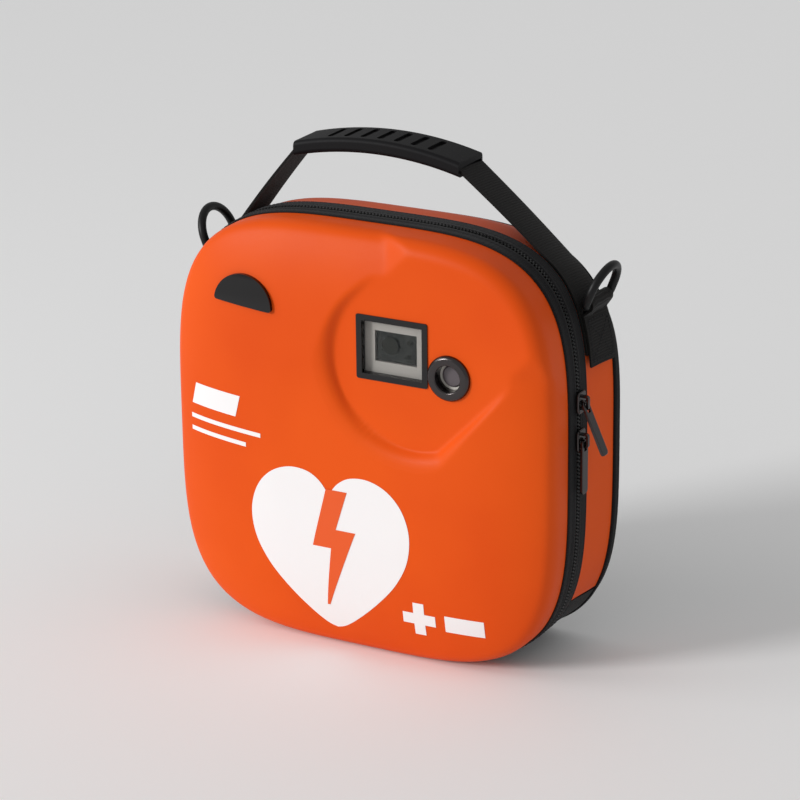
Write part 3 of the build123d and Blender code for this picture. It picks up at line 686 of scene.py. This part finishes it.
def box_stitching(name, side):
    """A rectangle of stitches with a cross in it, sewn through the tab."""
    deselect()
    bpy.ops.mesh.primitive_cube_add(size=1, location=(0, 0, 0))
    source = named(name + "_one")
    bpy.ops.object.mode_set(mode="EDIT")
    bpy.ops.transform.resize(value=(2.2 * MM, 0.55 * MM, 0.5 * MM))
    bpy.ops.mesh.bevel(offset=0.14 * MM, segments=1)
    leave_edit()
    low, high = radians(24), radians(33)
    inset = STRAP_HALF - 3.0 * MM
    corners = [(low, -inset), (low, inset), (high, inset), (high, -inset)]
    lines = [(corners[i], corners[(i + 1) % 4]) for i in range(4)]
    lines += [(corners[0], corners[2]), (corners[1], corners[3])]
    frames = []
    for (a0, y0), (a1, y1) in lines:
        ends = []
        for angle, y in ((a0, y0), (a1, y1)):
            point = outline_point(angle, STRAP_Y + y, STRAP_THICK + 2.9 * MM)
            ends.append(Vector((side * point.x, point.y, point.z)))
        count = int((ends[1] - ends[0]).length / (3.2 * MM))
        for i in range(count):
            share = (i + 0.5) / count
            angle, y = a0 + (a1 - a0) * share, y0 + (y1 - y0) * share
            point = outline_point(angle, STRAP_Y + y, STRAP_THICK + 2.75 * MM)
            along = (ends[1] - ends[0]).normalized()
            outward = Vector((side, 0, 0.25)).normalized()
            across = outward.cross(along).normalized()
            outward = along.cross(across)
            turn = Matrix((along, across, outward)).transposed().to_4x4()
            frames.append(Matrix.Translation((side * point.x, point.y, point.z)) @ turn)
    return copies(name, source, frames)


class CASE_OT_webbing(bpy.types.Operator):
    """Make the carrying strap, the ring tabs and the unit's hold-down strap"""
    bl_idname = "case.webbing"
    bl_label = "Webbing"

    def execute(self, context):
        y0, y1 = STRAP_Y - STRAP_HALF, STRAP_Y + STRAP_HALF
        for word, side in (("right", 1), ("left", -1)):
            strap = web_strip("carry_strap_" + word, strap_path(side), y0, y1, STRAP_THICK)
            nodes = [word + "_strap_end"] + (["handle_strap"] if side > 0 else [])
            smooth(strap)
            dress(strap, MATERIALS["webbing"])
            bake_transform(strap)
            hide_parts(*nodes)
            tab = web_strip("ring_tab_" + word, tab_path(side), y0, y1, 1.4 * MM)
            finish_piece(tab, "rear_case", MATERIALS["webbing"], [word + "_tab"])
            sewing = box_stitching("tab_stitches_" + word, side)
            finish_piece(sewing, "rear_case", MATERIALS["thread"])
        hold = web_strip("unit_hold_strap", hold_path, HOLD_LOW.z, HOLD_HIGH.z, 1.0 * MM)
        stand_up(hold)
        finish_piece(hold, "rear_case", MATERIALS["webbing"], ["hold_strap"])
        return {"FINISHED"}


def hold_path(v):
    """Round the unit's front, drawn flat: its depth stands in Z and its width in Y."""
    inset = 0.6 * MM
    x, front, back = HOLD_HIGH.x - inset, -(HOLD_LOW.y + inset), -HOLD_HIGH.y
    radius = 15.0 * MM
    y = 0.0
    points = [Vector((x, y, back)), Vector((x, y, front - radius))]
    for turn in range(0, 91, 6):
        points.append(Vector((x - radius + radius * cos(radians(turn)), y,
                              front - radius + radius * sin(radians(turn)))))
    mirrored = [Vector((-point.x, y, point.z)) for point in reversed(points)]
    return points + mirrored


def stand_up(strip):
    """Turns a strip drawn flat upright: depth back to Y, width back to Z."""
    for vertex in strip.data.vertices:
        vertex.co = Vector((vertex.co.x, -vertex.co.z, vertex.co.y))


# ------------------------------------------------------------------ back edge, hinge and print
def tube_along(name, ring, radius, sides=8):
    """A closed tube along a ring of points."""
    count = len(ring)

    def place(u, v):
        i = round(u * count) % count
        point = ring[i]
        along = (ring[(i + 1) % count] - ring[i - 1]).normalized()
        outward = along.cross(Vector((0, 1, 0))).normalized()
        turn = 2 * pi * v
        return point + outward * radius * cos(turn) + Vector((0, 1, 0)) * radius * sin(turn)

    tube = place_grid(name, count, sides, place)
    close_up(tube)
    return tube


class CASE_OT_bindings(bpy.types.Operator):
    """Make the bound back edge and the fabric hinge"""
    bl_idname = "case.bindings"
    bl_label = "Bindings"

    def execute(self, context):
        radius = context.scene.case_sizes.piping
        steps = 300
        ring = []
        for i in range(steps):
            point = outline_point(2 * pi * i / steps, PANEL_LOW.y, -0.6 * MM)
            point.z = max(point.z, radius)
            ring.append(point)
        piping = tube_along("back_piping", ring, radius)
        finish_piece(piping, "rear_case", MATERIALS["tape"])

        reach = 9.0 * MM
        x = -HALF_WIDTH - TAPE_PROUD - 0.35 * MM

        def place(u, v):
            fold = 1.0 * MM * cos((u - 0.5) * pi) ** 4
            z = MIDDLE_Z + (2 * v - 1) * HINGE_HALF
            bow = 0.9 * MM * abs(2 * v - 1) ** 3
            return Vector((x + bow - fold * 0.4, ZIP_Y + (2 * u - 1) * reach, z))

        hinge = place_grid("fabric_hinge", 24, 40, place)
        modify(hinge, "SOLIDIFY", thickness=0.7 * MM, offset=0)
        smooth(hinge)
        dress(hinge, MATERIALS["tape"])
        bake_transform(hinge)
        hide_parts("hinge_tape")
        return {"FINISHED"}


def on_front(x, z, proud):
    """The spot on the front skin straight behind (x, z), proud of its surface."""
    skin = bpy.data.objects["front_skin"]
    hit, spot, normal, _ = skin.ray_cast(Vector((x, -1.0, z)), Vector((0, 1, 0)))
    if not hit:
        raise RuntimeError(f"nothing of the front skin lies behind {x:.3f}, {z:.3f}")
    return spot + normal * proud


FACE_ROWS = 74
CORNER_ROWS = 14
SIDE_ROWS = 5
SKIN_COLUMNS = 360
CORNER_REACH = 17.0 * MM
CORNER_DEPTH = 17.0 * MM


def skin_spot(shell, u, row):
    """A spot of the front skin: rows run from the middle of the face over its edge to the tape."""
    angle = 2 * pi * u
    outward = Vector((cos(angle), 0, sin(angle)))
    middle = Vector((0, 0, MIDDLE_Z))
    radius = outline_radius(angle, HALF_WIDTH, HALF_HEIGHT)
    inner = radius - CORNER_REACH
    if row <= FACE_ROWS:
        start = middle + outward * (inner * row / FACE_ROWS) + Vector((0, -1.0, 0))
        hit, spot, _, _ = shell.ray_cast(start, Vector((0, 1, 0)))
        if not hit or spot.y > FRONT_LOW.y + 14 * MM:
            spot = Vector((start.x, PANEL_FACE_Y, start.z))
    elif row <= FACE_ROWS + CORNER_ROWS:
        turn = pi / 2 * (row - FACE_ROWS) / CORNER_ROWS
        pivot = middle + outward * inner + Vector((0, FRONT_TAPE_LOW.y - CORNER_DEPTH, 0))
        way = outward * sin(turn) + Vector((0, -cos(turn), 0))
        hit, spot, _, _ = shell.ray_cast(pivot + way * 0.3, -way)
        if not hit:
            raise RuntimeError(f"the front shell has no edge at {angle:.2f}")
    else:
        share = (row - FACE_ROWS - CORNER_ROWS) / SIDE_ROWS
        spot = middle + outward * radius
        spot.y = FRONT_TAPE_LOW.y - CORNER_DEPTH * (1 - share) + 0.3 * MM * share
    spot.z = max(spot.z, 0.0)
    return spot


def clear_selection(piece):
    for part in (piece.data.polygons, piece.data.edges, piece.data.vertices):
        part.foreach_set("select", [False] * len(part))


def cut_openings(skin):
    """Takes out the faces behind the window and inside of the grommet."""
    window_low, window_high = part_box("window_bezel")
    ring_low, ring_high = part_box("grommet")
    ring = (ring_low + ring_high) / 2
    inset = 2.6 * MM
    clear_selection(skin)
    for face in skin.data.polygons:
        spot = face.center
        in_window = (window_low.x + inset < spot.x < window_high.x - inset
                     and window_low.z + inset < spot.z < window_high.z - inset)
        in_ring = hypot(spot.x - ring.x, spot.z - ring.z) < 12.5 * MM
        face.select = (in_window or in_ring) and spot.y < FRONT_LOW.y + 14 * MM
    activate(skin)
    bpy.ops.object.mode_set(mode="EDIT")
    bpy.ops.mesh.select_mode(type="FACE")
    bpy.ops.mesh.delete(type="FACE")
    leave_edit()


def soften_face(skin):
    """Softens the creases of the face, and leaves its edge and side as they are."""
    activate(skin)
    clear_selection(skin)
    for vertex in skin.data.vertices:
        vertex.select = vertex.co.y < FRONT_TAPE_LOW.y - 6 * MM
    bpy.ops.object.mode_set(mode="EDIT")
    bpy.ops.mesh.select_mode(type="VERT")
    bpy.ops.mesh.vertices_smooth(factor=0.5, repeat=2)
    leave_edit()


class CASE_OT_front_skin(bpy.types.Operator):
    """Make the front half's moulded skin, with its lining inside"""
    bl_idname = "case.front_skin"
    bl_label = "Front skin"

    def execute(self, context):
        rows = FACE_ROWS + CORNER_ROWS + SIDE_ROWS
        shell = NODES["front_shell"]

        def place(u, v):
            return skin_spot(shell, u, round(v * rows))

        skin = place_grid("front_skin", SKIN_COLUMNS, rows, place)
        close_up(skin)
        soften_face(skin)
        cut_openings(skin)
        face_outwards(skin)
        skin.data.materials.append(MATERIALS["skin"])
        skin.data.materials.append(MATERIALS["lining"])
        modify(skin, "SOLIDIFY", thickness=3.2 * MM, offset=-1, material_offset=1, material_offset_rim=1)
        smooth(skin, 50)
        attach(skin, "front_lid")
        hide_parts("front_shell")
        return {"FINISHED"}


def face_outwards(piece):
    """Turns the open skin's faces away from the middle of the case."""
    middle = Vector((0, ZIP_Y, MIDDLE_Z))
    inwards = sum(1 for face in piece.data.polygons if face.normal.dot(face.center - middle) < 0)
    if inwards > len(piece.data.polygons) / 2:
        edit_all(piece)
        bpy.ops.mesh.flip_normals()
        leave_edit()


HEART_X = -16.0 * MM
HEART_Z = 80.0 * MM


# right half of the heart from its notch to its tip, in millimetres from its middle
HEART_HALF = ((0, 34), (7, 43), (17, 48.5), (31, 49), (45, 43), (55.5, 31), (60.5, 14), (58, -5),
              (48.5, -23), (34, -39.5), (18, -54), (7, -62), (0, -64.5))


def heart_point(turn):
    """The heart's outline, once round from its notch as turn goes from 0 to 1."""
    side = 1 if turn <= 0.5 else -1
    share = (turn if side > 0 else 1 - turn) * 2 * (len(HEART_HALF) - 1)
    i = min(int(share), len(HEART_HALF) - 2)
    last = len(HEART_HALF) - 1
    p0, p1, p2, p3 = [Vector(HEART_HALF[max(0, min(last, k))]) for k in range(i - 1, i + 3)]
    t = share - i
    square = (2 * p0 - 5 * p1 + 4 * p2 - p3) * t ** 2
    cube = (3 * p1 - p0 - 3 * p2 + p3) * t ** 3
    point = (2 * p1 + (p2 - p0) * t + square + cube) / 2
    return side * point.x * MM, point.y * MM


# each quad's corners: upper left, upper right, lower right, lower left, in millimetres on the face
BOLT = (
    ((-18, 118), (-2, 118), (-11, 90), (-29, 76)),
    ((-11, 90), (4, 90), (-15, 76), (-29, 76)),
    ((-15, 76), (4, 90), (-19, 33), (-21, 33)),
)
MARKS = (
    ((-122, 174), (-84, 172), (-88, 157), (-126, 159)),
    ((-127, 151.5), (-68, 148.5), (-68, 145.5), (-127, 148.5)),
    ((-127, 142.5), (-80, 140), (-80, 137), (-127, 139.5)),
    ((45, 47.5), (53, 47.5), (53, 23.5), (45, 23.5)),
    ((37, 39.5), (45, 39.5), (45, 31.5), (37, 31.5)),
    ((53, 39.5), (61, 39.5), (61, 31.5), (53, 31.5)),
    ((68, 41.5), (96, 41.5), (96, 29.5), (68, 29.5)),
)


def quad_print(name, corners, proud):
    a, b, c, d = [Vector((x * MM, z * MM, 0)) for x, z in corners]

    def place(u, v):
        spot = a.lerp(b, u).lerp(d.lerp(c, u), v)
        return on_front(spot.x, spot.y, proud)

    return place_grid(name, 10, 24, place)


class CASE_OT_prints(bpy.types.Operator):
    """Print a plain heart with a bolt on the front"""
    bl_idname = "case.prints"
    bl_label = "Prints"

    def execute(self, context):
        context.view_layer.update()
        ink = context.scene.case_sizes.ink

        def place(u, v):
            x, z = heart_point(u)
            return on_front(HEART_X + x * v, HEART_Z + z * v, ink)

        heart = place_grid("heart_print", 192, 30, place)
        set_print(heart, "ink")
        quads = [quad_print(f"bolt_{i}", corners, ink * 2) for i, corners in enumerate(BOLT)]
        bolt = join(quads, "bolt_print")
        set_print(bolt, "ink_orange")
        quads = [quad_print(f"mark_{i}", corners, ink) for i, corners in enumerate(MARKS)]
        marks = join(quads, "plain_marks")
        set_print(marks, "ink")
        return {"FINISHED"}


def set_print(piece, ink):
    """Finishes a print: a thin closed layer of ink on the front skin."""
    close_up(piece)
    face_front(piece)
    modify(piece, "SOLIDIFY", thickness=0.12 * MM, offset=-1)
    finish_piece(piece, "front_lid", MATERIALS[ink])


def face_front(piece):
    """Turns a sheet's faces towards the front."""
    for face in piece.data.polygons:
        if face.normal.y > 0:
            face.flip()


# ------------------------------------------------------------------ padding and the unit's display
def band_along(name, start, end, y0, y1, grow, columns, rows, ruffle=0.0):
    """A fabric band on the outline between two angles, with a slight ruffle."""
    def place(u, v):
        angle = start + (end - start) * u
        wave = ruffle * sin(2 * pi * u * columns / 9) * (0.4 + 0.6 * v)
        return outline_point(angle, y0 + (y1 - y0) * v, grow + wave)
    return place_grid(name, columns, rows, place)


class CASE_OT_padding(bpy.types.Operator):
    """Make the lining band, the wear guard, the foam cradle and the pads' pouch"""
    bl_idname = "case.padding"
    bl_label = "Padding"

    def execute(self, context):
        low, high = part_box("lid_lining")
        lining = band_along("lid_lining_band", 0, 2 * pi, low.y, high.y,
                            high.x - HALF_WIDTH - 0.5 * MM, 270, 4, 0.3 * MM)
        close_up(lining)
        face_outwards(lining)
        modify(lining, "SOLIDIFY", thickness=0.6 * MM, offset=-1)
        finish_piece(lining, "front_lid", MATERIALS["lining"], ["lid_lining"])
        girth = outline_length(0, 2 * pi, (low.y + high.y) / 2, high.x - HALF_WIDTH)

        low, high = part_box("base_guard")
        reach = asin_height(high.z)
        guard = band_along("wear_guard", -pi - reach, reach, low.y, high.y, 0.25 * MM, 200, 10)
        face_outwards(guard)
        modify(guard, "SOLIDIFY", thickness=1.0 * MM, offset=-1)
        close_up(guard)
        finish_piece(guard, "rear_case", MATERIALS["tape"], ["base_guard"])
        girth = outline_length(-pi - reach, reach, (low.y + high.y) / 2, 0)

        foam = copy_of("foam_cradle", "cradle_foam")
        modify(foam, "REMESH", mode="VOXEL", voxel_size=0.0035)
        edit_all(foam)
        bpy.ops.mesh.vertices_smooth(factor=0.5, repeat=3)
        leave_edit()
        finish_piece(foam, "rear_case", MATERIALS["foam"], ["foam_cradle"], 50)

        low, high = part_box("pads_pouch")
        middle = (low + high) / 2
        half = (high - low) / 2

        def place(u, v):
            a, b = 2 * u - 1, 2 * v - 1
            side = 1 if v <= 0.5 else -1
            b = 4 * v - 1 if side > 0 else 3 - 4 * v
            crown = (1 - abs(a) ** 5) * (1 - abs(b) ** 5)
            wrinkle = 0.25 * MM * sin(19 * a + 7 * b) * crown
            y = middle.y - side * ((half.y - 0.6 * MM) * crown + wrinkle)
            return Vector((middle.x + half.x * a, y, middle.z + half.z * b))

        pouch = place_grid("electrode_pouch", 48, 72, place)
        close_up(pouch)
        finish_piece(pouch, "rear_case", MATERIALS["foil"], ["pads_pouch"])
        return {"FINISHED"}


def outline_length(start, end, y, grow):
    """The outline's length between two angles."""
    steps = 720
    points = [outline_point(start + (end - start) * i / steps, y, grow) for i in range(steps + 1)]
    return sum((b - a).length for a, b in zip(points, points[1:]))


def asin_height(z):
    """The outline's angle, below the middle, at which it reaches height z on its right side."""
    angle = 0.0
    while outline_point(angle, REAR_TAPE_HIGH.y).z > z:
        angle -= radians(0.1)
    return angle


def copy_of(node, name):
    """A new piece with a node's shape, its points merged."""
    mesh = NODES[node].data.copy()
    piece = bpy.data.objects.new(name, mesh)
    mesh.name = name
    bpy.context.scene.collection.objects.link(piece)
    close_up(piece)
    return piece


def disc(name, x, y, z, radius):
    deselect()
    bpy.ops.mesh.primitive_cylinder_add(vertices=40, radius=radius, depth=0.12 * MM, rotation=(pi / 2, 0, 0))
    bpy.ops.object.transform_apply(location=False, rotation=True, scale=False)
    bpy.ops.object.mode_set(mode="EDIT")
    bpy.ops.mesh.select_all(action="SELECT")
    bpy.ops.transform.translate(value=(x, y, z))
    leave_edit()
    return named(name)


class CASE_OT_display(bpy.types.Operator):
    """Make the segments behind the display's lens"""
    bl_idname = "case.display"
    bl_label = "Display"

    def execute(self, context):
        low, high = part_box("status_display")
        wide, tall = high.x - low.x, high.z - low.z
        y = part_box("display_lens")[0].y - 0.08 * MM
        segments = [disc("segment_0", low.x + wide * 0.36, y, low.z + tall * 0.56, tall * 0.3)]
        for i, (x, z, radius) in enumerate(((0.83, 0.74, 0.075), (0.83, 0.3, 0.06), (0.74, 0.22, 0.05))):
            segments.append(disc(f"segment_{i + 1}", low.x + wide * x, y, low.z + tall * z, tall * radius))
        marks = join(segments, "display_segments")
        finish_piece(marks, "rear_case", MATERIALS["display_mark"])
        return {"FINISHED"}


# ------------------------------------------------------------------ stage
# light and camera: azimuth and elevation in degrees, distances in metres, strengths in Blender's units
WORLD_STRENGTH = 0.46
SUN_STRENGTH = 1.75
SUN_SPREAD = 16
SUN_PLACE = (-40, 20)
WINDOW_SIZE = 0.7
WINDOW_POWER = 4.0
WINDOW_PLACE = (-62, 30)
LAMP_DISTANCE = 1.7
CAMERA_PLACE = (29.5, 20.2)
CAMERA_ROLL = -0.85
CAMERA_DISTANCE = 2.17
CAMERA_ANGLE = 14
CAMERA_SHIFT = (0.031, 0.044)
CAMERA_CLIP_END = 50


class CASE_OT_stage(bpy.types.Operator):
    """Set the floor, the soft lights and the camera"""
    bl_idname = "case.stage"
    bl_label = "Stage"

    def execute(self, context):
        scene = context.scene
        deselect()
        bpy.ops.mesh.primitive_plane_add(size=12, location=(0, 0, 0))
        floor = named("studio_floor")
        dress(floor, new_material("paper_white", linear("FAFAFA"), 0.9))
        world = bpy.data.worlds.new("studio")
        scene.world = world
        world.use_nodes = True
        world.node_tree.nodes["Background"].inputs["Color"].default_value = (1, 1, 1, 1)
        world.node_tree.nodes["Background"].inputs["Strength"].default_value = WORLD_STRENGTH
        target = Vector((0, FRONT_TAPE_LOW.y, MIDDLE_Z))
        sun = bpy.data.lights.new("soft_sun", "SUN")
        sun.energy = SUN_STRENGTH
        sun.angle = radians(SUN_SPREAD)
        window = bpy.data.lights.new("soft_window", "AREA")
        window.size = WINDOW_SIZE
        window.energy = WINDOW_POWER
        for light, place in ((sun, SUN_PLACE), (window, WINDOW_PLACE)):
            back = direction(*place)
            lamp = bpy.data.objects.new(light.name, light)
            scene.collection.objects.link(lamp)
            lamp.matrix_world = Matrix.Translation(target + back * LAMP_DISTANCE) @ looking(back)
        camera = bpy.data.cameras.new("camera")
        camera.angle = radians(CAMERA_ANGLE)
        camera.shift_x, camera.shift_y = CAMERA_SHIFT
        camera.clip_end = CAMERA_CLIP_END
        viewer = bpy.data.objects.new("camera", camera)
        scene.collection.objects.link(viewer)
        back = direction(*CAMERA_PLACE)
        roll = Matrix.Rotation(radians(CAMERA_ROLL), 4, "Z")
        viewer.matrix_world = Matrix.Translation(target + back * CAMERA_DISTANCE) @ looking(back) @ roll
        scene.camera = viewer
        scene.view_settings.view_transform = "Standard"
        return {"FINISHED"}


def direction(azimuth, elevation):
    """Unit vector to a place seen from the object; azimuth 0 is in front, positive to the right."""
    a, e = radians(azimuth), radians(elevation)
    return Vector((sin(a) * cos(e), -cos(a) * cos(e), sin(e)))


def looking(back):
    """Rotation of a camera or light whose back points along back."""
    return back.to_track_quat("Z", "Y").to_matrix().to_4x4()


# ------------------------------------------------------------------ panel and registration
OPERATORS = (CASE_OT_finishes, CASE_OT_front_skin, CASE_OT_padding, CASE_OT_display, CASE_OT_zip,
             CASE_OT_webbing, CASE_OT_bindings, CASE_OT_prints, CASE_OT_stage)


class CASE_PT_panel(bpy.types.Panel):
    """Lists the case's pieces in the sidebar"""
    bl_label = "Defibrillator case"
    bl_space_type = "VIEW_3D"
    bl_region_type = "UI"
    bl_category = "Defibrillator"

    def draw(self, context):
        for group in (context.scene.case_colours, context.scene.case_sizes):
            for key in group.__annotations__:
                self.layout.prop(group, key)
        for operator in OPERATORS:
            self.layout.operator(operator.bl_idname)


CLASSES = (CaseColours, CaseSizes, *OPERATORS, CASE_PT_panel)


def register():
    for item in CLASSES:
        bpy.utils.register_class(item)
    bpy.types.Scene.case_colours = bpy.props.PointerProperty(type=CaseColours)
    bpy.types.Scene.case_sizes = bpy.props.PointerProperty(type=CaseSizes)


def unregister():
    del bpy.types.Scene.case_sizes
    del bpy.types.Scene.case_colours
    for item in reversed(CLASSES):
        bpy.utils.unregister_class(item)


def main():
    register()
    bpy.ops.case.finishes()
    bpy.ops.case.front_skin()
    bpy.ops.case.padding()
    bpy.ops.case.display()
    bpy.ops.case.zip()
    bpy.ops.case.webbing()
    bpy.ops.case.bindings()
    bpy.ops.case.prints()
    bpy.ops.case.stage()
    bpy.context.view_layer.update()


if __name__ == "__main__":
    main()
